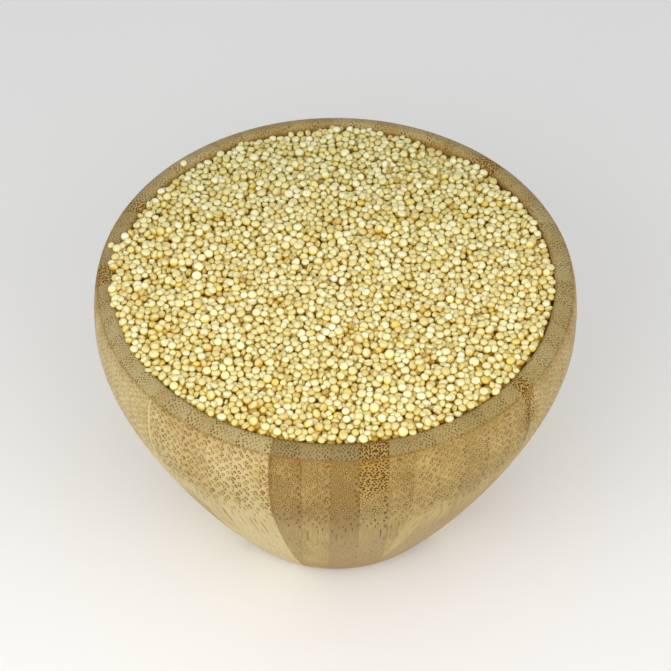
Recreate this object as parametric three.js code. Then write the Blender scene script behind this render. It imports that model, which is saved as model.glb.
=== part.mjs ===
// A turned bamboo bowl filled to the rim with dry quinoa.
// Millimetres, +Z up, origin at the centre of the base, front of the bowl towards -Y.
import * as THREE from 'three';

// Bowl, outside
const BASE_CORNER_RADIUS = 31.3;
const BASE_ROUND = 3;
const WALL_START_ANGLE = THREE.MathUtils.degToRad(57.8);
const WALL_START_PULL = 26.4;
const WIDEST_RADIUS = 60;
const WIDEST_HEIGHT = 66.4;
const WIDEST_PULL = 11.7;

// Bowl, rim: the face falls gently outwards from its crest to an edge
const RIM_EDGE_RADIUS = 58.5;
const RIM_EDGE_HEIGHT = 77.5;
const RIM_CREST_RADIUS = 55.2;
const RIM_CREST_HEIGHT = 79.1;
const RIM_FACE_BULGE = new THREE.Vector2(57.2, 78.7);
const INNER_EDGE_ROUND = 1.3;

// Bowl, inside
const WALL_THICKNESS = 6.1;
const FLOOR_THICKNESS = 8;
const FLOOR_RADIUS = 22;
const FLOOR_CURVE_HEIGHT = 3;

// Steps along the bowl's outline and around it
const SECTORS = 60;
const BASE_STEPS = 2;
const WALL_STEPS = 8;
const SHOULDER_STEPS = 3;
const RIM_FACE_STEPS = 3;
const EDGE_STEPS = 2;
const INSIDE_STEPS = 5;

// Quinoa: the surface is nearly level with the rim, crowned, with shallow dips at the wall
// and two low banks against it, which have a negative depth
const GAP = 0.3;
const HEAP_RADIUS = WIDEST_RADIUS - WALL_THICKNESS - GAP;
const HEAP_LEVEL = RIM_CREST_HEIGHT;
const HEAP_CROWN = 2.4;
const RIPPLE_HEIGHT = 0.45;
const RIPPLE_LENGTH = 26;
const DIPS = [
  { azimuth: 58, depth: 1.1, spread: 10 },
  { azimuth: 15, depth: 0.6, spread: 20 },
  { azimuth: 104, depth: 0.9, spread: 10 },
  { azimuth: 130, depth: 0.5, spread: 14 },
  { azimuth: 190, depth: -0.9, spread: 18 },
  { azimuth: -75, depth: -1.1, spread: 36 },
];

// Grain-sized bumps on a honeycomb of concentric rings
const BUMP_RINGS = 40;
const BUMP_HEIGHT = 1.0;
const BUMP_UNEVEN = 0.35;
const BUMP_DRIFT = 0.3;
const PIT_UNEVEN = 0.3;
const SEED = 2417;

const BAMBOO_COLOUR = 0xc7aa70;
const QUINOA_COLOUR = 0xe9dca4;

// Repeatable random numbers from 0 to 1
function randomStream(seed) {
  let state = seed;
  return () => {
    state = (state + 0x6d2b79f5) | 0;
    let mixed = Math.imul(state ^ (state >>> 15), 1 | state);
    mixed = (mixed + Math.imul(mixed ^ (mixed >>> 7), 61 | mixed)) ^ mixed;
    return ((mixed ^ (mixed >>> 14)) >>> 0) / 4294967296;
  };
}

// How far the base's rounding reaches along the base and up the wall from their corner
const BASE_REACH = BASE_ROUND * Math.tan(WALL_START_ANGLE / 2);

// The rounding between the flat base and the wall, as radius and height
function basePoints() {
  const centre = new THREE.Vector2(BASE_CORNER_RADIUS - BASE_REACH, BASE_ROUND);
  const turn = -Math.PI / 2;
  const curve = new THREE.EllipseCurve(
    centre.x, centre.y, BASE_ROUND, BASE_ROUND, turn, turn + WALL_START_ANGLE,
  );
  return curve.getPoints(BASE_STEPS).slice(0, -1);
}

// The outer wall, from the base's rounding up to its widest point
function wallCurve() {
  const corner = new THREE.Vector2(BASE_CORNER_RADIUS, 0);
  const rise = new THREE.Vector2(Math.cos(WALL_START_ANGLE), Math.sin(WALL_START_ANGLE));
  const start = corner.clone().addScaledVector(rise, BASE_REACH);
  const startPull = corner.clone().addScaledVector(rise, WALL_START_PULL);
  const end = new THREE.Vector2(WIDEST_RADIUS, WIDEST_HEIGHT);
  const endPull = new THREE.Vector2(WIDEST_RADIUS, WIDEST_HEIGHT - WIDEST_PULL);
  return new THREE.CubicBezierCurve(start, startPull, endPull, end);
}

// The wall leans in above its widest point, up to the rim's edge
function shoulderPoints() {
  const across = WIDEST_RADIUS - RIM_EDGE_RADIUS;
  const up = RIM_EDGE_HEIGHT - WIDEST_HEIGHT;
  const curve = new THREE.EllipseCurve(RIM_EDGE_RADIUS, WIDEST_HEIGHT, across, up, 0, Math.PI / 2);
  return curve.getPoints(SHOULDER_STEPS).slice(1);
}

function rimFacePoints() {
  const edge = new THREE.Vector2(RIM_EDGE_RADIUS, RIM_EDGE_HEIGHT);
  const crest = new THREE.Vector2(RIM_CREST_RADIUS, RIM_CREST_HEIGHT);
  return new THREE.QuadraticBezierCurve(edge, RIM_FACE_BULGE, crest).getPoints(RIM_FACE_STEPS).slice(1);
}

// The crest turns over into the inner wall
function innerEdgePoints() {
  const centreHeight = RIM_CREST_HEIGHT - INNER_EDGE_ROUND;
  const across = RIM_CREST_RADIUS - (WIDEST_RADIUS - WALL_THICKNESS);
  const curve = new THREE.EllipseCurve(
    RIM_CREST_RADIUS, centreHeight, across, INNER_EDGE_ROUND, Math.PI / 2, Math.PI,
  );
  return curve.getPoints(EDGE_STEPS).slice(1);
}

// The inside of the bowl below its widest point, shrunk by a clearance, ending on the axis
function insidePoints(clearance) {
  const inset = WALL_THICKNESS + clearance;
  const floor = FLOOR_THICKNESS + clearance;
  const wall = wallCurve();
  const points = [];
  for (let step = 0; step <= INSIDE_STEPS; step += 1) {
    const t = 1 - step / INSIDE_STEPS;
    const outer = wall.getPoint(t);
    const along = wall.getTangent(t);
    const point = new THREE.Vector2(outer.x - inset * along.y, outer.y + inset * along.x);
    if (point.y > floor + FLOOR_CURVE_HEIGHT) points.push(point);
  }
  points.push(new THREE.Vector2(FLOOR_RADIUS - clearance, floor));
  points.push(new THREE.Vector2(0, floor));
  return points;
}

function lathe(points) {
  const geometry = new THREE.LatheGeometry(points, SECTORS);
  geometry.rotateX(Math.PI / 2);
  return geometry;
}

function makeBowl() {
  const outline = [
    new THREE.Vector2(0, 0),
    ...basePoints(),
    ...wallCurve().getPoints(WALL_STEPS),
    ...shoulderPoints(),
    ...rimFacePoints(),
    ...innerEdgePoints(),
    ...insidePoints(0),
  ];
  const material = new THREE.MeshStandardMaterial({ color: BAMBOO_COLOUR, roughness: 0.5, metalness: 0 });
  const bowl = new THREE.Mesh(lathe(outline), material);
  bowl.name = 'bowl';
  return bowl;
}

// Height of the grain tops over a point of the bowl's mouth
function heapHeight(x, y) {
  const reach = Math.hypot(x, y) / HEAP_RADIUS;
  let height = HEAP_LEVEL + HEAP_CROWN * (1 - reach * reach);
  for (const dip of DIPS) {
    const azimuth = THREE.MathUtils.degToRad(dip.azimuth);
    const dx = x - HEAP_RADIUS * Math.cos(azimuth);
    const dy = y - HEAP_RADIUS * Math.sin(azimuth);
    height -= dip.depth * Math.exp(-(dx * dx + dy * dy) / (dip.spread * dip.spread));
  }
  const turn = (2 * Math.PI) / RIPPLE_LENGTH;
  height += RIPPLE_HEIGHT * Math.sin(turn * (x + 0.4 * y)) * Math.cos(turn * (0.8 * y - 0.3 * x));
  return height;
}

// Steps to a neighbour in the six directions of the honeycomb
const DIRECTIONS = [[1, 0], [0, 1], [-1, 1], [-1, 0], [0, -1], [1, -1]];

// Every third place of the honeycomb is the top of a bump, so bumps never touch tops
function isBump(ring, side, offset) {
  const out = DIRECTIONS[side];
  const along = DIRECTIONS[(side + 2) % 6];
  const q = ring * out[0] + offset * along[0];
  const r = ring * out[1] + offset * along[1];
  return (q - r) % 3 === 0;
}

// One vertex for each place of the honeycomb, ring by ring from the centre
function surfacePoints() {
  const random = randomStream(SEED);
  const spread = () => 2 * random() - 1;
  const points = [[0, 0, heapHeight(0, 0)]];
  for (let ring = 1; ring <= BUMP_RINGS; ring += 1) {
    const atWall = ring === BUMP_RINGS;
    for (let place = 0; place < 6 * ring; place += 1) {
      const bump = isBump(ring, Math.floor(place / ring), place % ring);
      const drift = bump && !atWall ? BUMP_DRIFT : 0;
      const angle = (2 * Math.PI * place) / (6 * ring);
      const radius = (HEAP_RADIUS * ring) / BUMP_RINGS;
      const x = radius * Math.cos(angle) + drift * spread();
      const y = radius * Math.sin(angle) + drift * spread();
      const lift = bump ? BUMP_UNEVEN * spread() : PIT_UNEVEN * spread() - BUMP_HEIGHT;
      points.push([x, y, heapHeight(x, y) + lift]);
    }
  }
  return points;
}

function ringStart(ring) {
  return ring === 0 ? 0 : 1 + 3 * ring * (ring - 1);
}

function surfaceTriangles() {
  const triangles = [];
  for (let ring = 1; ring <= BUMP_RINGS; ring += 1) {
    const outer = (place) => ringStart(ring) + (place % (6 * ring));
    const inner = (place) => ringStart(ring - 1) + (ring === 1 ? 0 : place % (6 * (ring - 1)));
    for (let side = 0; side < 6; side += 1) {
      for (let offset = 0; offset < ring; offset += 1) {
        const a = side * ring + offset;
        const b = side * (ring - 1) + offset;
        triangles.push([outer(a), outer(a + 1), inner(b)]);
        if (offset < ring - 1) triangles.push([outer(a + 1), inner(b + 1), inner(b)]);
      }
    }
  }
  return triangles;
}

// The filled body under the surface: rings of points down the bowl's inside to the axis
function addBody(points, triangles) {
  const outline = insidePoints(GAP);
  const bottom = outline.pop();
  const perSector = (6 * BUMP_RINGS) / SECTORS;
  const top = ringStart(BUMP_RINGS);
  let upper = points.length;
  for (let sector = 0; sector < SECTORS; sector += 1) {
    const here = upper + sector;
    const next = upper + ((sector + 1) % SECTORS);
    for (let step = 0; step < perSector; step += 1) {
      const a = sector * perSector + step;
      triangles.push([top + ((a + 1) % (6 * BUMP_RINGS)), top + a, here]);
    }
    triangles.push([top + (((sector + 1) * perSector) % (6 * BUMP_RINGS)), here, next]);
  }
  outline.forEach((point, level) => {
    for (let sector = 0; sector < SECTORS; sector += 1) {
      const angle = (2 * Math.PI * sector) / SECTORS;
      points.push([point.x * Math.cos(angle), point.x * Math.sin(angle), point.y]);
      if (level === 0) continue;
      const above = upper + (level - 1) * SECTORS;
      const below = upper + level * SECTORS;
      const next = (sector + 1) % SECTORS;
      triangles.push([above + sector, below + sector, above + next]);
      triangles.push([above + next, below + sector, below + next]);
    }
  });
  upper += (outline.length - 1) * SECTORS;
  points.push([0, 0, bottom.y]);
  for (let sector = 0; sector < SECTORS; sector += 1) {
    triangles.push([upper + sector, points.length - 1, upper + ((sector + 1) % SECTORS)]);
  }
}

function makeQuinoa() {
  const points = surfacePoints();
  const triangles = surfaceTriangles();
  addBody(points, triangles);
  const geometry = new THREE.BufferGeometry();
  geometry.setAttribute('position', new THREE.Float32BufferAttribute(points.flat(), 3));
  geometry.setIndex(triangles.flat());
  geometry.computeVertexNormals();
  const material = new THREE.MeshStandardMaterial({ color: QUINOA_COLOUR, roughness: 0.7, metalness: 0 });
  const quinoa = new THREE.Mesh(geometry, material);
  quinoa.name = 'quinoa';
  return quinoa;
}

const group = new THREE.Group();
group.add(makeBowl());
group.add(makeQuinoa());

export default group;
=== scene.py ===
"""A turned bamboo bowl, glued up from strips, filled to the rim with dry quinoa seeds."""

import math

import bmesh
import bpy
import numpy as np
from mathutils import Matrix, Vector


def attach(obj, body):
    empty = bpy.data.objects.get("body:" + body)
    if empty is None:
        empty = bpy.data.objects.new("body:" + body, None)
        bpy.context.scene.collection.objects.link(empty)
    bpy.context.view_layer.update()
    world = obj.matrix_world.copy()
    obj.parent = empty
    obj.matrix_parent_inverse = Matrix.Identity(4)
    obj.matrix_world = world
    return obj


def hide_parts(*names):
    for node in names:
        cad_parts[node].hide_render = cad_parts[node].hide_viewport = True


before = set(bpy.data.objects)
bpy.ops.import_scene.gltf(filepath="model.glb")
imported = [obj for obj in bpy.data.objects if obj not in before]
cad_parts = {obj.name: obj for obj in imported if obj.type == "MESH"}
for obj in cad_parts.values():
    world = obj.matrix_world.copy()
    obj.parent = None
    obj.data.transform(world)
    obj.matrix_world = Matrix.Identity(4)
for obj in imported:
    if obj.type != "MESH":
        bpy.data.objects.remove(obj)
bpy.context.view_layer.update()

MM = 0.001

# Bowl outline in millimetres, as radius and height
BASE_CORNER_RADIUS = 31.3
BASE_ROUND = 3.0
WALL_START_ANGLE = math.radians(57.8)
WALL_START_PULL = 26.4
WIDEST_RADIUS = 60.0
WIDEST_HEIGHT = 66.4
WIDEST_PULL = 11.7
RIM_EDGE = (58.5, 77.5)
RIM_FACE_BULGE = (57.2, 78.7)
RIM_CREST = (55.2, 79.1)
INNER_EDGE_ROUND = 1.3
WALL_THICKNESS = 6.1
INSIDE_RADIUS = WIDEST_RADIUS - WALL_THICKNESS
FLOOR_THICKNESS = 8.0
FLOOR_RADIUS = 22.0

# Steps along the bowl's outline and around it
BASE_STEPS = 5
WALL_STEPS = 30
SHOULDER_STEPS = 12
RIM_FACE_STEPS = 8
EDGE_STEPS = 6
INSIDE_STEPS = 24
BOWL_SECTORS = 180

# Heap surface in millimetres: azimuth is counted from +X towards +Y, and a bank is a negative dip
GAP = 0.3
HEAP_RADIUS = INSIDE_RADIUS - GAP
HEAP_CROWN = 2.4
RIPPLE_HEIGHT = 0.45
RIPPLE_LENGTH = 26.0
DIPS = (
    {"azimuth": 58, "depth": 1.1, "spread": 10},
    {"azimuth": 15, "depth": 0.6, "spread": 20},
    {"azimuth": 104, "depth": 0.9, "spread": 10},
    {"azimuth": 130, "depth": 0.5, "spread": 14},
    {"azimuth": 190, "depth": -0.9, "spread": 18},
    {"azimuth": -75, "depth": -1.1, "spread": 36},
)
# Where the seeds lean over the rim's inner edge, how far over it and how high
SPILL = {"azimuth": 191, "spread": 25, "height": 1.0, "reach": 0.8}
SPILL_WIDTH = 2.5
# The core under the loose seeds
CORE_DEPTH = 3.0
CORE_SHOULDER = 71.0
CORE_SECTORS = 96
CORE_RINGS = 40

# Pouring: a grid in millimetres, with reaches counted in its cells
CELL = 0.2
SEED_REACH = 8
CREST_REACH = 5
ROLL_REACH = 6
ROLL_COST = 0.02
SETTLING = 0.16
ROOM_LEFT = 0.15
PLACES_TRIED = 24
MISSES_ALLOWED = 2400
SIDE_GAP = 0.8
SWELL_COUNT = 14
SWELL_HEIGHT = 0.12
SWELL_LENGTHS = (3.2, 9)

# Seed sizes in millimetres and tilts in degrees
SEED_WIDTH = 2.16
SEED_WIDTH_SPREAD = 0.24
SEED_WIDTH_RANGE = (1.5, 2.65)
LYING_SHARE = 0.58
LYING_TILT = 22
LEANING_TILT = 55
STRAY_TILT = 8
STRAY_FORM = (1.04, 0.96, 0.66)
# Powers under 1 make a seed's outline fuller and its faces flatter than a ball's
OUTLINE_POWER = 0.78
FACE_POWER = 0.82
SEED_SEGMENTS = 10
SEED_RINGS = 6
SHAPES_PER_KIND = 90
RANDOM_SEED = 5

# The camera looks at a point on the bowl's axis
VIEW_ELEVATION = math.radians(47.5)
VIEW_DISTANCE = 584.8
VIEW_HEIGHT = 56.5
SENSOR_WIDTH = 36.0
FOCAL_LENGTH = 123.9

# Bamboo blocks around the bowl and the strips in each
BLOCKS = 11
FIRST_JOINT = math.radians(-14.9)
STRIP_WIDTH = 6.8
FIBRE_TILT = math.radians(28)


# ---------------------------------------------------------------- shader maths


class Value:
    """A node's output. The usual operators make Math nodes out of it."""

    def __init__(self, shader, socket):
        self.shader = shader
        self.socket = socket

    def math(self, operation, *others):
        return self.shader.math(operation, self, *others)

    def __add__(self, other):
        return self.math("ADD", other)

    __radd__ = __add__

    def __mul__(self, other):
        return self.math("MULTIPLY", other)

    __rmul__ = __mul__

    def __sub__(self, other):
        return self.math("SUBTRACT", other)

    def __rsub__(self, other):
        return self.shader.math("SUBTRACT", other, self)

    def __truediv__(self, other):
        return self.math("DIVIDE", other)

    def __neg__(self):
        return self * -1.0

    def __abs__(self):
        return self.math("ABSOLUTE")

    def __gt__(self, other):
        return self.math("GREATER_THAN", other)

    def __lt__(self, other):
        return self.math("LESS_THAN", other)

    def __mod__(self, other):
        return self.math("FLOORED_MODULO", other)

    def floor(self):
        return self.math("FLOOR")

    def clamp(self):
        return self.shader.node("ShaderNodeClamp", Value=self)

    def between(self, low, high):
        """0 at low, 1 at high, smooth in between; low may be the larger."""
        settings = {"interpolation_type": "SMOOTHSTEP"}
        values = {"Value": self, "From Min": low, "From Max": high}
        return self.shader.node("ShaderNodeMapRange", settings, **values)


class Shader:
    """One material and its Principled shader."""

    def __init__(self, name, roughness, **constants):
        self.material = bpy.data.materials.new(name)
        self.material.use_nodes = True
        self.tree = self.material.node_tree
        self.surface = self.tree.nodes["Principled BSDF"]
        self.feed("Roughness", roughness)
        for socket, value in constants.items():
            self.feed(socket.replace("_", " "), value)

    def feed(self, socket, value):
        self.put(self.surface.inputs[socket], value)

    def put(self, socket, value):
        if isinstance(value, Value):
            self.tree.links.new(value.socket, socket)
        else:
            socket.default_value = value

    def node(self, kind, settings=None, output=0, **values):
        """Any node: its settings go first, then the values or links of its sockets."""
        made = self.tree.nodes.new(kind)
        for name, setting in (settings or {}).items():
            setattr(made, name, setting)
        for name, value in values.items():
            if name[0] == "i" and name[1:].isdigit():
                self.put(made.inputs[int(name[1:])], value)
            else:
                self.put(made.inputs[name], value)
        return Value(self, made.outputs[output])

    def math(self, operation, *values):
        sockets = {f"i{place}": value for place, value in enumerate(values)}
        return self.node("ShaderNodeMath", {"operation": operation}, **sockets)

    def vector(self, x, y, z):
        return self.node("ShaderNodeCombineXYZ", X=x, Y=y, Z=z)

    def parts(self, vector):
        return [self.node("ShaderNodeSeparateXYZ", output=axis, Vector=vector) for axis in range(3)]

    def vector_math(self, operation, *values):
        sockets = {f"i{place}": value for place, value in enumerate(values)}
        return self.node("ShaderNodeVectorMath", {"operation": operation}, **sockets)

    def mix(self, share, first, second, blend="MIX"):
        """A colour that is first where share is 0 and second where it is 1."""
        settings = {"data_type": "RGBA", "blend_type": blend}
        ends = [value if isinstance(value, Value) else (*value, 1.0) for value in (first, second)]
        return self.node("ShaderNodeMix", settings, 2, Factor=share, i6=ends[0], i7=ends[1])

    def noise(self, vector, scale, detail=2.0, roughness=0.5):
        values = {"Vector": vector, "Scale": scale, "Detail": detail, "Roughness": roughness}
        return self.node("ShaderNodeTexNoise", {"noise_dimensions": "3D"}, **values)

    def random(self, *numbers):
        """A repeatable number from 0 to 1 for each set of up to three whole numbers."""
        x, y, z = (*numbers, 0.0, 0.0)[:3]
        return self.node("ShaderNodeTexWhiteNoise", {"noise_dimensions": "3D"}, Vector=self.vector(x, y, z))

    def pick(self, number, values):
        """One of the values, which lie from 0 to 1, by a whole number from 0 up."""
        picked = self.node("ShaderNodeValToRGB", Fac=(number + 0.5) / len(values))
        ramp = picked.socket.node.color_ramp
        while len(ramp.elements) < len(values):
            ramp.elements.new(1.0)
        for place, (element, value) in enumerate(zip(ramp.elements, values)):
            element.position = place / len(values)
            element.color = (value, value, value, 1.0)
        ramp.interpolation = "CONSTANT"
        return self.parts(picked)[0]

    def bump(self, height, strength, distance):
        bumped = self.node("ShaderNodeBump", Height=height, Strength=strength, Distance=distance)
        self.feed("Normal", bumped)


def linear(red, green, blue):
    """A display colour, 0 to 255, as the linear colour that shaders take."""
    return tuple(((value / 255 + 0.055) / 1.055) ** 2.4 for value in (red, green, blue))


# ---------------------------------------------------------------- bamboo

BAMBOO_PALE = linear(211, 192, 141)
BAMBOO_TAN = linear(187, 161, 100)
BAMBOO_BROWN = linear(144, 118, 64)
BAMBOO_PINK = linear(170, 142, 94)
BAMBOO_GOLD = linear(172, 134, 60)
PORE_DARK = linear(120, 80, 22)
PORE_DENSE = linear(92, 62, 0)
PORE_PALE = linear(212, 188, 118)
# The rim face's grey is partly the wood's own colour and partly painted shade and reflection
RIM_GREY = linear(138, 124, 84)
INSIDE_PAINTED_BOUNCE = linear(178, 132, 72)
CRACK_GOLD = linear(186, 138, 40)
NICK_DARK = linear(96, 64, 20)
EDGE_BROWN = linear(128, 92, 30)
GLUE_DARK = linear(126, 86, 36)
GLUE_PALE = linear(224, 204, 140)

# Block by block from the front towards the right; every value is from 0 to 1
BLOCK_BROWNNESS = (0.62, 0.66, 0.36, 0.3, 0.5, 0.36, 0.46, 0.3, 0.4, 0.2, 0.29)
BLOCK_SHIFT = (0.39, 0.55, 0.2, 0.7, 0.1, 0.45, 0.85, 0.3, 0.54, 0.65, 0.85)
BLOCK_PORE_GAP = (0.25, 0.26, 0.2, 0.35, 0.25, 0.4, 0.3, 0.35, 0.2, 0.15, 0.4)
BLOCK_MARKS = (1, 0.8, 0.6, 0.5, 0.7, 0.6, 0.7, 0.6, 0.6, 0.55, 0.86)
DENSE_ON_RIGHT = (1, 1, 0, 1, 0, 1, 0, 1, 1, 0, 0)
# Which strip is dense with dark pores all over, as a tenth of its number plus 4; 1 for none
DENSE_STRIP = (0.5, 1, 1, 1, 0.4, 1, 1, 0.6, 0.5, 1, 1)
# The front block's own strips from its left joint, and every joint from the front block's left one
FRONT_BROWNNESS = (0.92, 0.8, 1.0, 0.75, 0.72)
FRONT_PORES = (0.95, 0.8, 1.0, 1.0, 0.75)
JOINT_DARKNESS = (0.9, 0.12, 0.3, 0.4, 0.2, 0.5, 0.3, 0.2, 0.5, 0.35, 0)
# A narrow band of dense pores runs along one joint, the second to the right of the front block's left one
DENSE_JOINT = 2
DENSE_JOINT_REACH = 1.7
FINE_PORES_ABOVE = 67
# Middles of the marks on the front strips, as x and height
CRACK = (7.2, 75.5)
NICK = (14.7, 76.6)
SPLIT_X = -7.1


def bamboo_material():
    """End-grain bamboo: blocks around the bowl, parallel strips in each, fibres that lean outwards."""
    shader = Shader("bamboo", 0.5, Specular_IOR_Level=0.12)
    place = shader.node("ShaderNodeTexCoord", output=3)
    x, y, z = [part * 1000 for part in shader.parts(place)]
    azimuth = shader.math("ARCTAN2", x, -y)
    radius = (x * x + y * y).math("SQRT")

    width = 2 * math.pi / BLOCKS
    turned = (azimuth - FIRST_JOINT) / width
    block = turned.floor()
    number = block % BLOCKS
    centre = (block + 0.5) * width + FIRST_JOINT
    across_axis, out_axis = centre.math("COSINE"), centre.math("SINE")
    across = x * across_axis + y * out_axis
    out = x * out_axis - y * across_axis
    front = number < 0.5

    # Strips run side by side across a block; pores crowd towards one edge of each
    in_strips = across / STRIP_WIDTH + shader.pick(number, BLOCK_SHIFT)
    strip = in_strips.floor()
    along_strip = in_strips - strip
    on_right = shader.pick(number, DENSE_ON_RIGHT)
    crowd = 1 - abs(along_strip - on_right)
    chance = shader.random(number, strip, 4.0)
    tint_chance = shader.random(number, strip, 2.0)
    dense = abs(strip + 4 - shader.pick(number, DENSE_STRIP) * 10) < 0.5
    nearest = turned.math("ROUND")
    joint = nearest % BLOCKS
    to_joint = abs(turned - nearest) * width * radius
    beside_joint = (abs(joint - DENSE_JOINT) < 0.5) * (to_joint < DENSE_JOINT_REACH)
    dense = shader.math("MAXIMUM", dense, beside_joint)

    # Fibres lean outwards, so pores are rings on the rim and upper wall and streaks lower down
    tilt_cos, tilt_sin = math.cos(FIBRE_TILT), math.sin(FIBRE_TILT)
    bend = (55 - z).math("MAXIMUM", 0).math("MINIMUM", 27)
    rise = (z.math("MINIMUM", RIM_EDGE[1]) - 55) * 0.65
    rise = rise + bend * bend * 0.009 + (28 - z).math("MAXIMUM", 0) * 0.35
    depth = (out - rise) * tilt_cos
    along = out * tilt_sin + z * tilt_cos
    on_rim = (z > 77.45) * (radius < 58.5)
    ragged = shader.noise(shader.vector(across, depth, number), 0.8)
    crowded = crowd + (ragged - 0.5) * 0.3 > 0.84
    fine_zone = shader.math("MAXIMUM", on_rim, dense * (z > FINE_PORES_ABOVE))
    rim_only = on_rim * (1 - dense)
    finer = fine_zone * 0.43 + rim_only * 0.05 + dense * on_rim * 0.13
    gap = (1.0 + shader.pick(number, BLOCK_PORE_GAP)) * (1 - finer)
    pore_x = crowd * STRIP_WIDTH / gap + strip * 17 + number * 31
    pore_y = depth / gap * (1.4 - on_rim * 0.4) + strip * 13 + ragged * 0.8
    where = shader.vector((pore_x + pore_y) * 0.71, (pore_x - pore_y) * 0.71, 0)
    settings = {"voronoi_dimensions": "2D", "feature": "F1"}
    cell = {"Vector": where, "Scale": 1.0, "Randomness": 0.5 + dense * 0.18}
    distance = shader.node("ShaderNodeTexVoronoi", settings, 0, **cell)
    cell_chance = shader.parts(shader.node("ShaderNodeTexVoronoi", settings, 1, **cell))
    cell_centre = shader.node("ShaderNodeTexVoronoi", settings, 2, **cell)
    aside = shader.parts(shader.vector_math("SUBTRACT", where, cell_centre))[0] / 0.25
    upper = z.between(60, 70)
    filled = shader.math("MAXIMUM", dense * (z > FINE_PORES_ABOVE), on_rim * 0.7)
    filled = shader.math("MAXIMUM", filled, crowded * 0.4)
    streaky = z.between(57, 50)
    filled = shader.math("MAXIMUM", filled, streaky)
    outer = 0.36 + dense * (upper * 0.04 + on_rim * 0.04) - streaky * 0.15 - rim_only * 0.04
    heart = distance.between(0.21 + dense * 0.06, 0.11 + dense * 0.06) * (1 - filled)
    ring = distance.between(outer, outer - 0.1) * (1 - heart)
    fade = z.between(26, 54) * 0.7 + 0.3
    amount = front * shader.pick(strip + 2, FRONT_PORES) * 1.3
    amount = amount + (1 - front) * shader.math("MAXIMUM", shader.pick(number, BLOCK_MARKS), on_rim)
    strength = 1.08 + 0.34 * crowd - on_rim * 0.38 - streaky * 0.4
    # Painted shade: each pore ring is darker on one side, as if lit from the other
    strength = strength * (0.75 + 0.5 * cell_chance[0]) * (0.9 - 0.3 * aside) * amount
    on_rim_strength = on_rim * (crowd * crowd * 0.7 - 0.2 + front * (amount * 0.35 - 0.22))
    strength = strength + on_rim_strength + dense * upper * (0.35 + 0.3 * on_rim)
    ring = (ring * strength * fade).clamp()
    heart = (heart * fade * 0.5).clamp()

    # Colour of the wood, paler towards the bottom; the rim's grey face holds painted shade and reflection
    own = shader.pick(strip + 2, FRONT_BROWNNESS)
    others = shader.pick(number, BLOCK_BROWNNESS) + (chance - 0.5) * 0.18
    brown = front * own + (1 - front) * others
    fine = shader.noise(shader.vector(across * 3, depth * 3, along * 0.1), 1.0, 3.0)
    lines = shader.noise(shader.vector(across * 2.2, depth * 1.2, along * 0.03), 1.0, 2.0)
    broad = shader.noise(shader.vector(across, depth, along * 0.4), 0.13, 2.0)
    brown = (brown + (fine - 0.5) * 0.5 + (lines - 0.5) * 0.5 + (broad - 0.5) * 0.7).clamp()
    brown = (brown - z.between(70, 16) * (0.28 - front * 0.12)).clamp()
    wood = shader.mix((brown * 2).clamp(), BAMBOO_PALE, BAMBOO_TAN)
    wood = shader.mix((brown * 2 - 1).clamp(), wood, BAMBOO_BROWN)
    pink = (tint_chance > 0.7) * z.between(48, 34) * 0.7
    wood = shader.mix(pink, wood, BAMBOO_PINK)
    wood = shader.mix(dense * upper * 0.42, wood, BAMBOO_GOLD)
    # The rim's top face is tinted grey: partly its own end-grain colour, partly painted shade and
    # reflection; the grey is painted stronger at the front and weaker at the back, which is painted light
    at_back = y.between(10, 50)
    grey = 0.51 + 0.19 * front - dense * 0.36 - at_back * 0.12
    wood = shader.mix(on_rim * grey, wood, RIM_GREY)
    wood = shader.mix(heart, wood, PORE_PALE)
    darkest = shader.math("MAXIMUM", dense, on_rim)
    wood = shader.mix(ring, wood, shader.mix(darkest, PORE_DARK, PORE_DENSE))

    # Joints between blocks, and fainter ones between strips
    broken = shader.noise(shader.vector(x, y, z), 0.5, 2.0).between(0.38, 0.6)
    dark = shader.pick(joint, JOINT_DARKNESS) * z.between(40, 60)
    wood = shader.mix(to_joint.between(0.5, 0.15) * dark * (0.35 + 0.5 * broken), wood, GLUE_DARK)
    pale_joint = (joint > BLOCKS - 1.5) * to_joint.between(0.5, 0.25) * 0.7 * (1 - on_rim)
    wood = shader.mix(pale_joint, wood, GLUE_PALE)
    to_strip = abs(in_strips - in_strips.math("ROUND")) * STRIP_WIDTH
    wood = shader.mix(to_strip.between(0.2, 0.05) * 0.35 * broken, wood, GLUE_DARK)

    # The inside where it shows is tinted warm, which is painted bounce light from the seeds; a golden
    # crack, a nick and a fine split mark the front strips
    inside = (radius < INSIDE_RADIUS + 0.5) * z.between(78.7, 77.9) * (z > 60)
    # Painted light: the warm orange on the inner wall above the seeds stands for light bounced off them
    wood = shader.mix(inside * 0.55, wood, INSIDE_PAINTED_BOUNCE)
    # The brown at the rim's inner edge is partly its own colour and partly painted contact shadow where the
    # seeds meet the rim
    wood = shader.mix(radius.between(55, 54.3) * on_rim * 0.2, wood, EDGE_BROWN)
    crack_height = CRACK[1] + 0.7 * ((x - CRACK[0]) * 0.65).math("COSINE")
    crack = abs(z - crack_height).between(0.26, 0.12) * x.between(5.4, 6) * x.between(11, 9)
    wood = shader.mix(crack * (y < 0) * (1 - on_rim), wood, CRACK_GOLD)
    beside_nick = x - NICK[0]
    nick = abs(z - NICK[1] - beside_nick * 0.3).between(0.3, 0.1) * abs(beside_nick).between(0.8, 0.4)
    wood = shader.mix(nick * (y < 0) * 0.8, wood, NICK_DARK)

    wander = shader.noise(shader.vector(z * 0.16, front, 3.0), 1.0, 3.0) - 0.5
    split = abs(x - SPLIT_X - wander * 4.2).between(0.16, 0.04) * z.between(24, 30) * z.between(49, 44)
    wood = shader.mix(split * (y < 0) * 0.55, wood, NICK_DARK)

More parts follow.
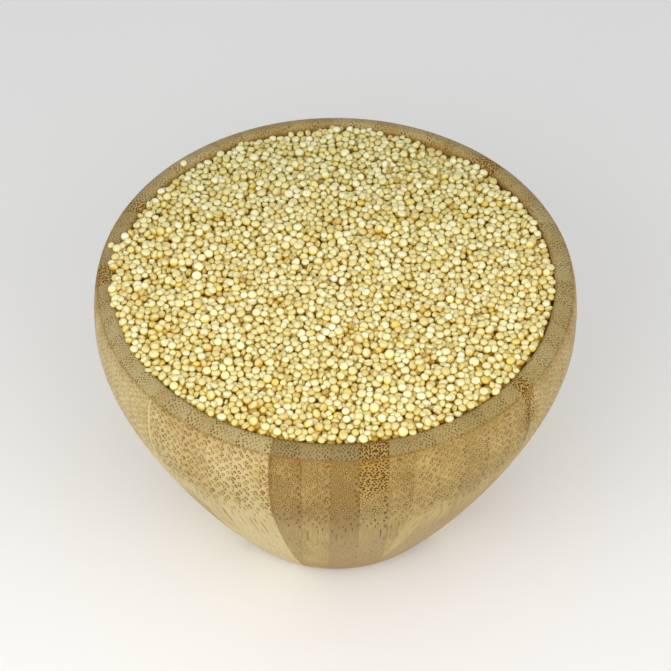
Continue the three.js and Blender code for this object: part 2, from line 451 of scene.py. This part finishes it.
    # A thin brown line follows the rim's outer edge
    beyond, above = radius - RIM_EDGE[0], z - RIM_EDGE[1]
    from_edge = (beyond * beyond + above * above).math("SQRT")
    edge_share = 0.22 + 0.3 * broken + 0.14 * front
    wood = shader.mix(from_edge.between(0.5, 0.1) * edge_share, wood, EDGE_BROWN)
    below_edge = z.between(74.2, 77.4) * (1 - on_rim)
    wood = shader.mix(below_edge * 0.25, wood, EDGE_BROWN)

    shader.feed("Base Color", wood)
    shader.feed("Roughness", 0.44 + 0.1 * fine + 0.1 * ring)
    shader.bump(fine * 0.2 - ring * 0.6, 0.2, 0.0002)
    return shader.material


def arc(centre, radii, start, end, steps):
    """Points along part of an ellipse, angles in degrees, both ends included."""
    points = []
    for step in range(steps + 1):
        angle = math.radians(start + (end - start) * step / steps)
        points.append((centre[0] + radii[0] * math.cos(angle), centre[1] + radii[1] * math.sin(angle)))
    return points


def bezier(points, t):
    """The place and the unit direction at t along a curve through two, three or four control points."""
    while len(points) > 2:
        points = [first.lerp(second, t) for first, second in zip(points, points[1:])]
    return points[0].lerp(points[1], t), (points[1] - points[0]).normalized()


def wall_controls():
    corner = Vector((BASE_CORNER_RADIUS, 0))
    rise = Vector((math.cos(WALL_START_ANGLE), math.sin(WALL_START_ANGLE)))
    start = corner + rise * BASE_ROUND * math.tan(WALL_START_ANGLE / 2)
    widest = Vector((WIDEST_RADIUS, WIDEST_HEIGHT))
    return [start, corner + rise * WALL_START_PULL, widest - Vector((0, WIDEST_PULL)), widest]


def outside_points():
    """The bowl's outside, from the edge of its base to the inner edge of its rim."""
    reach = BASE_ROUND * math.tan(WALL_START_ANGLE / 2)
    base_centre = (BASE_CORNER_RADIUS - reach, BASE_ROUND)
    base_end = math.degrees(WALL_START_ANGLE) - 90
    base = arc(base_centre, (BASE_ROUND, BASE_ROUND), -90, base_end, BASE_STEPS)
    wall = [tuple(bezier(wall_controls(), step / WALL_STEPS)[0]) for step in range(1, WALL_STEPS)]
    lean = (WIDEST_RADIUS - RIM_EDGE[0], RIM_EDGE[1] - WIDEST_HEIGHT)
    shoulder = arc((RIM_EDGE[0], WIDEST_HEIGHT), lean, 0, 90, SHOULDER_STEPS)
    face = [Vector(RIM_EDGE), Vector(RIM_FACE_BULGE), Vector(RIM_CREST)]
    face = [tuple(bezier(face, step / RIM_FACE_STEPS)[0]) for step in range(1, RIM_FACE_STEPS + 1)]
    across = RIM_CREST[0] - INSIDE_RADIUS
    round_centre = (RIM_CREST[0], RIM_CREST[1] - INNER_EDGE_ROUND)
    inner_edge = arc(round_centre, (across, INNER_EDGE_ROUND), 90, 180, EDGE_STEPS)[1:]
    return base + wall + shoulder + face + inner_edge


def inside_points(clearance):
    """The bowl's inside from its widest height down to the edge of its floor."""
    points = []
    for step in range(INSIDE_STEPS + 1):
        place, along = bezier(wall_controls(), 1 - step / INSIDE_STEPS)
        inset = WALL_THICKNESS + clearance
        point = (place.x - inset * along.y, place.y + inset * along.x)
        if point[1] > FLOOR_THICKNESS + clearance + 3:
            points.append(point)
    points.append((FLOOR_RADIUS - clearance, FLOOR_THICKNESS + clearance))
    return points


def spun(name, outline, sectors, change=None):
    """A closed solid of revolution from an outline that starts and ends on the axis."""
    mesh = bmesh.new()
    verts = [mesh.verts.new((radius, 0, height)) for radius, height in outline]
    edges = [mesh.edges.new(pair) for pair in zip(verts, verts[1:])]
    turn = {"axis": (0, 0, 1), "cent": (0, 0, 0), "angle": 2 * math.pi, "steps": sectors}
    bmesh.ops.spin(mesh, geom=verts + edges, use_merge=True, **turn)
    bmesh.ops.remove_doubles(mesh, verts=mesh.verts, dist=1e-4)
    bmesh.ops.recalc_face_normals(mesh, faces=mesh.faces)
    if change:
        change(mesh)
    bmesh.ops.scale(mesh, vec=(MM, MM, MM), verts=mesh.verts)
    return finished(name, mesh)


def finished(name, mesh):
    data = bpy.data.meshes.new(name)
    mesh.to_mesh(data)
    mesh.free()
    data.shade_smooth()
    piece = bpy.data.objects.new(name, data)
    bpy.context.scene.collection.objects.link(piece)
    return piece


def dress(piece, material, slot, *nodes):
    """Gives a piece its material, its body and the node that it stands for."""
    piece.data.materials.append(material)
    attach(piece, "root")
    if nodes:
        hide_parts(*nodes)


def make_bowl():
    outline = [(0, 0)] + outside_points() + inside_points(0) + [(0, FLOOR_THICKNESS)]
    dress(spun("bamboo_bowl", outline, BOWL_SECTORS), bamboo_material(), "bamboo", "bowl")


# ---------------------------------------------------------------- quinoa


def heap_height(x, y):
    """Height of the seed tops over points of the bowl's mouth, in millimetres."""
    height = RIM_CREST[1] + HEAP_CROWN * (1 - (x * x + y * y) / HEAP_RADIUS**2)
    for dip in DIPS:
        azimuth = math.radians(dip["azimuth"])
        dx = x - HEAP_RADIUS * math.cos(azimuth)
        dy = y - HEAP_RADIUS * math.sin(azimuth)
        height = height - dip["depth"] * np.exp(-(dx * dx + dy * dy) / dip["spread"] ** 2)
    turn = 2 * math.pi / RIPPLE_LENGTH
    ripple = np.sin(turn * (x + 0.4 * y)) * np.cos(turn * (0.8 * y - 0.3 * x))
    return height + RIPPLE_HEIGHT * ripple


def sink_core(mesh):
    """Drops the core's top, which was spun flat at the rim, to just under the loose seeds."""
    for vert in mesh.verts:
        if vert.co.z > RIM_CREST[1] - 1e-3:
            vert.co.z = float(heap_height(vert.co.x, vert.co.y)) - CORE_DEPTH


def make_core(material):
    floor = FLOOR_THICKNESS + GAP
    side = inside_points(GAP)[::-1] + [(HEAP_RADIUS, CORE_SHOULDER)]
    top = [(HEAP_RADIUS * ring / CORE_RINGS, RIM_CREST[1]) for ring in range(CORE_RINGS, -1, -1)]
    core = spun("quinoa_core", [(0, floor)] + side + top, CORE_SECTORS, sink_core)
    dress(core, material, "quinoa", "quinoa")


# Stray seeds on the rim: azimuth counted like the dips', distance from the axis, width
STRAYS = (
    {"azimuth": 135.3, "radius": 54.9, "width": 1.9},
    {"azimuth": 177.0, "radius": 55.3, "width": 1.9},
    {"azimuth": 170.4, "radius": 56.6, "width": 1.7},
    {"azimuth": 171.8, "radius": 54.7, "width": 2.4},
    {"azimuth": -168.3, "radius": 55.0, "width": 1.8},
)

# Each kind: share of all seeds, thickness and length against width, and its colours
KINDS = (
    {
        "name": "cream_round_seeds",
        "share": 0.19,
        "size": 1.06,
        "thick": (0.58, 0.74),
        "long": (1.0, 1.08),
        "colours": (linear(252, 246, 209), linear(236, 224, 166)),
    },
    {
        "name": "cream_flat_seeds",
        "share": 0.23,
        "thick": (0.44, 0.58),
        "long": (1.0, 1.12),
        "colours": (linear(244, 236, 187), linear(227, 212, 144)),
    },
    {
        "name": "pale_flat_seeds",
        "share": 0.19,
        "thick": (0.44, 0.58),
        "long": (1.0, 1.14),
        "colours": (linear(248, 243, 205), linear(235, 223, 164)),
    },
    {
        "name": "golden_seeds",
        "share": 0.18,
        "size": 0.96,
        "thick": (0.48, 0.66),
        "long": (1.0, 1.16),
        "colours": (linear(238, 224, 156), linear(218, 196, 120)),
    },
    {
        "name": "oval_seeds",
        "share": 0.15,
        "thick": (0.5, 0.64),
        "long": (1.14, 1.34),
        "colours": (linear(240, 229, 168), linear(223, 202, 130)),
    },
    {
        "name": "white_seeds",
        "share": 0.014,
        "size": 0.86,
        "thick": (0.7, 0.9),
        "long": (1.0, 1.06),
        "colours": (linear(252, 248, 226), linear(246, 240, 210)),
    },
    {
        "name": "amber_seeds",
        "share": 0.012,
        "thick": (0.54, 0.66),
        "long": (1.0, 1.2),
        "colours": (linear(240, 222, 122), linear(228, 200, 96)),
    },
    {
        "name": "toasted_seeds",
        "share": 0.006,
        "size": 0.92,
        "thick": (0.54, 0.66),
        "long": (1.0, 1.2),
        "colours": (linear(214, 190, 112), linear(184, 150, 72)),
    },
)
# Painted shade: the core under the loose seeds is deep golden, as the shade between the seeds looks
CORE_PAINTED_SHADE_COLOURS = (linear(206, 154, 4), linear(180, 128, 0))
# The next four are painted shade: golden and brown in the gaps between seeds, warm on their undersides,
# duller towards the back; then a painted glow in the gaps
GAP_PAINTED_GOLDEN_SHADE = linear(206, 158, 2)
GAP_PAINTED_SHADE = (0.9, 0.84, 0.6)
UNDERSIDE_PAINTED_SHADE = (0.98, 0.83, 0.18)
BACK_PAINTED_SHADE = (0.89, 0.93, 0.95)
SEEPING_LIGHT = (0.028, 0.014, 0)


def seed_material(name, pale, deep):
    """A dry seed: pale faces, a deeper band round its edge that is partly painted shade, a brown eye on
    some, painted shade on its lower side and painted golden shade down in the gaps.

    The seeds towards the back of the bowl are painted a little duller, as painted shade. The gaps between
    the seeds give off a faint painted glow, which stands for light that passes through the seeds.
    """
    shader = Shader(name, 0.4, Specular_IOR_Level=0.4, Subsurface_Weight=0.3, Subsurface_Scale=0.0008)
    shader.feed("Subsurface Radius", (1.0, 0.72, 0.28))
    tone = shader.node("ShaderNodeAttribute", {"attribute_name": "tone"}, 2)
    sunk = shader.node("ShaderNodeAttribute", {"attribute_name": "sunk"}, 2)
    local = shader.node("ShaderNodeAttribute", {"attribute_name": "seed_place"}, 1)
    x, y, z = shader.parts(local)
    mottle = shader.noise(shader.vector(x + tone * 37, y, z), 2.4, 4.0, 0.7)
    deepness = (tone * 0.85 + (mottle - 0.5) * 1.1).clamp()
    colour = shader.mix(deepness, pale, deep)
    flat = abs(z)
    groove = flat.between(0.3, 0.42) * flat.between(0.62, 0.46)
    # The deeper band round each seed's edge is partly the seed's own band and partly painted shade at its
    # outline
    band = flat.between(0.45, 0.25)
    edge_colour = tuple(part * share for part, share in zip(deep, (0.7, 0.62, 0.24)))
    colour = shader.mix(band * 0.6, colour, edge_colour)
    colour = shader.mix(groove * 0.12, colour, edge_colour)
    ahead = x - 0.86
    eye = (ahead * ahead + y * y + (flat - 0.4) * (flat - 0.4)).math("SQRT").between(0.32, 0.14)
    colour = shader.mix(eye * (tone % 0.13 < 0.05) * 0.8, colour, linear(150, 104, 52))
    flank = shader.node("ShaderNodeAttribute", {"attribute_name": "flank"}, 2)
    # Painted shade: each seed darkens and warms towards its underside, as light falls from above
    colour = shader.mix(flank.between(0.24, 0.6) * 0.9, colour, UNDERSIDE_PAINTED_SHADE, "MULTIPLY")
    # Painted shade between the seeds: seeds sunk below their neighbours are darkened, and deeply buried
    # ones turned golden, as painted shade and painted warm bounce light
    colour = shader.mix(sunk.between(0.4, 1.4) * 0.75, colour, GAP_PAINTED_SHADE, "MULTIPLY")
    buried = sunk.between(1.25, 2.25)
    colour = shader.mix(buried * 0.7, colour, GAP_PAINTED_GOLDEN_SHADE)
    behind = shader.parts(shader.node("ShaderNodeTexCoord", output=3))[1].between(-0.005, 0.05)
    # Painted shade: seeds towards the back of the bowl are tinted duller
    colour = shader.mix(behind, colour, BACK_PAINTED_SHADE, "MULTIPLY")
    shader.feed("Base Color", colour)
    # Painted light: the gaps glow faintly, more at the back, in place of light that passes through the
    # seeds
    seeping = sunk.between(0.8, 1.6) * (0.45 + 0.55 * behind)
    shader.feed("Emission Color", shader.mix(seeping, (0, 0, 0), SEEPING_LIGHT))
    shader.feed("Emission Strength", 1)
    shader.feed("Roughness", 0.36 + 0.16 * mottle + 0.4 * buried)
    shader.bump(mottle * 0.4 - groove * 0.5 - eye, 0.5, 0.0001)
    return shader.material


def rim_height(radius):
    """Height of the rim's top at a radius, in millimetres."""
    inward = np.clip((RIM_CREST[0] - radius) / (RIM_CREST[0] - INSIDE_RADIUS), 0, 1)
    rounded = RIM_CREST[1] - INNER_EDGE_ROUND * (1 - np.sqrt(1 - inward**2))
    outward = np.clip((radius - RIM_CREST[0]) / (RIM_EDGE[0] - RIM_CREST[0]), 0, 1)
    return rounded - (RIM_CREST[1] - RIM_EDGE[1]) * outward**1.6


def random_turn(rng, lying):
    """A rotation matrix: lying is how flat the seed lies, as the spread of its tilt in degrees."""
    tilt = math.radians(min(abs(rng.normal(0, lying)), 90))
    heading, spin = rng.uniform(0, 2 * math.pi, 2)
    cosine, sine = math.cos(spin), math.sin(spin)
    about_z = np.array([[cosine, -sine, 0], [sine, cosine, 0], [0, 0, 1]])
    axis = np.array([math.cos(heading), math.sin(heading), 0])
    cross = np.array([[0, 0, axis[1]], [0, 0, -axis[0]], [-axis[1], axis[0], 0]])
    about_axis = np.eye(3) + math.sin(tilt) * cross + (1 - math.cos(tilt)) * cross @ cross
    return about_axis @ about_z


def seed_shape(rng, kind):
    """One seed's half sizes and turn, with the height of its underside and top over the grid."""
    width = rng.normal(SEED_WIDTH, SEED_WIDTH_SPREAD) * kind.get("size", 1)
    width = np.clip(width, *SEED_WIDTH_RANGE)
    length = math.sqrt(rng.uniform(*kind["long"]))
    half = width / 2 * np.array([length, 1 / length, rng.uniform(*kind["thick"])])
    turn = random_turn(rng, LYING_TILT if rng.random() < LYING_SHARE else LEANING_TILT)
    form = turn @ np.diag(half**-2.0) @ turn.T
    step = np.arange(-SEED_REACH, SEED_REACH + 1) * CELL
    dx, dy = np.meshgrid(step, step, indexing="ij")
    middle = -(form[0, 2] * dx + form[1, 2] * dy) / form[2, 2]
    rest = form[0, 0] * dx**2 + 2 * form[0, 1] * dx * dy + form[1, 1] * dy**2 - 1
    inside = middle**2 - rest / form[2, 2]
    reach = np.sqrt(np.maximum(inside, 0))
    under = np.where(inside > 0, middle - reach, np.inf)
    over = np.where(inside > 0, middle + reach, -np.inf)
    return {"half": half, "turn": turn, "under": under, "over": over}


def uneven(x, y, rng):
    """Small random swells, in millimetres, that leave some seeds higher than their neighbours."""
    swells = np.zeros_like(x)
    for _ in range(SWELL_COUNT):
        heading, phase = rng.uniform(0, 2 * math.pi, 2)
        turn = 2 * math.pi / rng.uniform(*SWELL_LENGTHS)
        swells += SWELL_HEIGHT * np.sin(turn * (x * math.cos(heading) + y * math.sin(heading)) + phase)
    return swells


def spilled(x, y):
    """From 0 to 1: where the heap leans over the rim's inner edge."""
    off = np.degrees(np.arctan2(y, x)) - SPILL["azimuth"]
    off = (off + 180) % 360 - 180
    return np.exp(-((off / SPILL["spread"]) ** 4))


def pour_seeds(rng):
    """Drops seeds one by one into the lowest places until the heap has its height.

    Returns, for each kind, the seeds that still show (centre, half sizes and turn),
    and the height of the highest seed near each point of the grid.
    """
    size = int(round(2 * WIDEST_RADIUS / CELL)) + 1
    line = (np.arange(size) - size // 2) * CELL
    x, y = np.meshgrid(line, line, indexing="ij")
    radius = np.hypot(x, y)
    goal = heap_height(x, y) + uneven(x, y, rng)
    goal += SPILL["height"] * spilled(x, y) * np.exp(-(((radius - HEAP_RADIUS) / SPILL_WIDTH) ** 2))
    ground = np.where(radius < INSIDE_RADIUS, heap_height(x, y) - CORE_DEPTH, rim_height(radius))
    owner = np.full(ground.shape, -1)
    open_cells = np.argwhere(radius < HEAP_RADIUS - SIDE_GAP + SPILL["reach"] * spilled(x, y))
    shares = np.array([kind["share"] for kind in KINDS])
    shapes = [[seed_shape(rng, kind) for _ in range(SHAPES_PER_KIND)] for kind in KINDS]
    window = 2 * SEED_REACH + 1
    roll = np.arange(-ROLL_REACH, ROLL_REACH + 1)
    roll_cost = ROLL_COST * (roll[:, None] ** 2 + roll[None, :] ** 2) * CELL**2
    placed, misses = [], 0
    while misses < MISSES_ALLOWED:
        tries = open_cells[rng.integers(len(open_cells), size=PLACES_TRIED)]
        room = goal[tries[:, 0], tries[:, 1]] - ground[tries[:, 0], tries[:, 1]]
        row, column = tries[room.argmax()]
        kind = rng.choice(len(KINDS), p=shares / shares.sum())
        shape = shapes[kind][rng.integers(SHAPES_PER_KIND)]
        span = SEED_REACH + ROLL_REACH
        patch = ground[row - span : row + span + 1, column - span : column + span + 1]
        views = np.lib.stride_tricks.sliding_window_view(patch, (window, window))
        resting = (views - shape["under"]).max(axis=(2, 3))
        best = np.unravel_index((resting + roll_cost).argmin(), resting.shape)
        row, column = row + roll[best[0]], column + roll[best[1]]
        height = resting[best] - SETTLING
        if height + 0.5 * shape["half"][2] > goal[row, column] - ROOM_LEFT:
            misses += 1
            continue
        misses = 0
        rows = slice(row - SEED_REACH, row + SEED_REACH + 1)
        cells = (rows, slice(column - SEED_REACH, column + SEED_REACH + 1))
        top = height + shape["over"]
        higher = top > ground[cells]
        ground[cells][higher] = top[higher]
        owner[cells][higher] = len(placed)
        placed.append((kind, np.array([line[row], line[column], height]), shape))
    showing = set(np.unique(owner)) - {-1}
    seeds = [[] for _ in KINDS]
    for index in sorted(showing):
        kind, centre, shape = placed[index]
        seeds[kind].append((centre, shape["half"], shape["turn"]))
    around = np.pad(np.where(owner < 0, 0, ground), CREST_REACH)
    window = 2 * CREST_REACH + 1
    return seeds, np.lib.stride_tricks.sliding_window_view(around, (window, window)).max(axis=(2, 3))


def seed_pattern():
    """The corners and faces of one seed of half size 1, with flatter faces and a full edge."""
    mesh = bmesh.new()
    bmesh.ops.create_uvsphere(mesh, u_segments=SEED_SEGMENTS, v_segments=SEED_RINGS, radius=1)
    mesh.verts.ensure_lookup_table()
    corners = np.array([vert.co for vert in mesh.verts])
    faces = [[vert.index for vert in face.verts] for face in mesh.faces]
    mesh.free()
    around = np.hypot(corners[:, 0], corners[:, 1])
    fuller = np.where(around > 1e-6, around**OUTLINE_POWER / np.maximum(around, 1e-6), 0)
    corners[:, :2] *= fuller[:, None]
    corners[:, 2] = np.sign(corners[:, 2]) * np.abs(corners[:, 2]) ** FACE_POWER
    return corners, faces


def make_seeds(kind, seeds, crest, rng):
    """One piece with all the seeds of a kind, and what their material needs at each corner.

    tone is a seed's own random number, sunk the depth below the highest seed nearby in millimetres,
    flank runs from 0 at a seed's top to 1 at its underside, and seed_place is the place in the seed.
    """
    corners, faces = seed_pattern()
    count, each = len(seeds), len(corners)
    centres = np.array([seed[0] for seed in seeds])
    halves = np.array([seed[1] for seed in seeds])
    turns = np.array([seed[2] for seed in seeds])
    shaped = corners[None] * halves[:, None]
    places = np.einsum("nij,nvj->nvi", turns, shaped) + centres[:, None]
    all_faces = [[corner + each * index for corner in face] for index in range(count) for face in faces]
    data = bpy.data.meshes.new(kind["name"])
    data.from_pydata((places.reshape(-1, 3) * MM).tolist(), [], all_faces)
    tones = np.repeat(rng.random(count), each)
    local = np.tile(corners, (count, 1)).ravel()
    cells = np.rint(places[..., :2] / CELL).astype(int) + len(crest) // 2
    heights = places[..., 2]
    sunk = (crest[cells[..., 0], cells[..., 1]] - heights).ravel()
    flank = (heights.max(axis=1)[:, None] - heights) / np.ptp(heights, axis=1)[:, None]
    for name, values in (("tone", tones), ("sunk", sunk), ("flank", flank.ravel())):
        data.attributes.new(name, "FLOAT", "POINT").data.foreach_set("value", values)
    data.attributes.new("seed_place", "FLOAT_VECTOR", "POINT").data.foreach_set("vector", local)
    data.shade_smooth()
    piece = bpy.data.objects.new(kind["name"], data)
    bpy.context.scene.collection.objects.link(piece)
    dress(piece, seed_material(kind["name"], *kind["colours"]), "quinoa", "quinoa")


def stray_seeds(rng):
    """The named strays, lying nearly flat on the rim."""
    strays = []
    for stray in STRAYS:
        azimuth = math.radians(stray["azimuth"])
        half = stray["width"] / 2 * np.array(STRAY_FORM)
        height = float(rim_height(stray["radius"])) + half[2] + 0.05
        place = (stray["radius"] * math.cos(azimuth), stray["radius"] * math.sin(azimuth), height)
        strays.append((np.array(place), half, random_turn(rng, STRAY_TILT)))
    return strays


def make_quinoa():
    rng = np.random.default_rng(RANDOM_SEED)
    # The core's deep golden colours are painted shade
    make_core(seed_material("quinoa_core", *CORE_PAINTED_SHADE_COLOURS))
    poured, crest = pour_seeds(rng)
    poured[0] += stray_seeds(rng)
    for kind, seeds in zip(KINDS, poured):
        make_seeds(kind, seeds, crest, rng)


# ---------------------------------------------------------------- studio


def make_camera():
    camera = bpy.data.cameras.new("camera")
    camera.sensor_width = SENSOR_WIDTH
    camera.lens = FOCAL_LENGTH
    camera.clip_start = 0.01
    holder = bpy.data.objects.new("camera", camera)
    back = VIEW_DISTANCE * math.cos(VIEW_ELEVATION)
    up = VIEW_HEIGHT + VIEW_DISTANCE * math.sin(VIEW_ELEVATION)
    holder.location = (0, -back * MM, up * MM)
    holder.rotation_euler = (math.pi / 2 - VIEW_ELEVATION, 0, 0)
    bpy.context.scene.collection.objects.link(holder)
    bpy.context.scene.camera = holder


def make_floor():
    mesh = bmesh.new()
    bmesh.ops.create_grid(mesh, x_segments=1, y_segments=1, size=4)
    floor = finished("floor", mesh)
    shader = Shader("floor", 0.9)
    shader.feed("Base Color", (0.9, 0.9, 0.9, 1))
    floor.data.materials.append(shader.material)


def make_light(name, place, size, power, colour=(1, 1, 1)):
    lamp = bpy.data.lights.new(name, "AREA")
    lamp.size = size
    lamp.energy = power
    lamp.color = colour
    holder = bpy.data.objects.new(name, lamp)
    holder.location = place
    aim = Vector((0, 0, 0.05)) - Vector(place)
    holder.rotation_euler = aim.to_track_quat("-Z", "Y").to_euler()
    bpy.context.scene.collection.objects.link(holder)


def make_studio():
    world = bpy.data.worlds.new("studio")
    world.use_nodes = True
    background = world.node_tree.nodes["Background"]
    background.inputs["Color"].default_value = (0.99, 0.995, 1, 1)
    background.inputs["Strength"].default_value = 0.64
    bpy.context.scene.world = world
    bpy.context.scene.view_settings.view_transform = "Standard"
    make_floor()
    make_light("left_lamp", (-0.14, -0.23, 0.28), 0.24, 0.5, (1, 0.99, 0.97))
    make_light("right_lamp", (0.14, -0.23, 0.28), 0.24, 0.37, (1, 0.99, 0.97))


make_camera()
make_studio()
make_bowl()
make_quinoa()
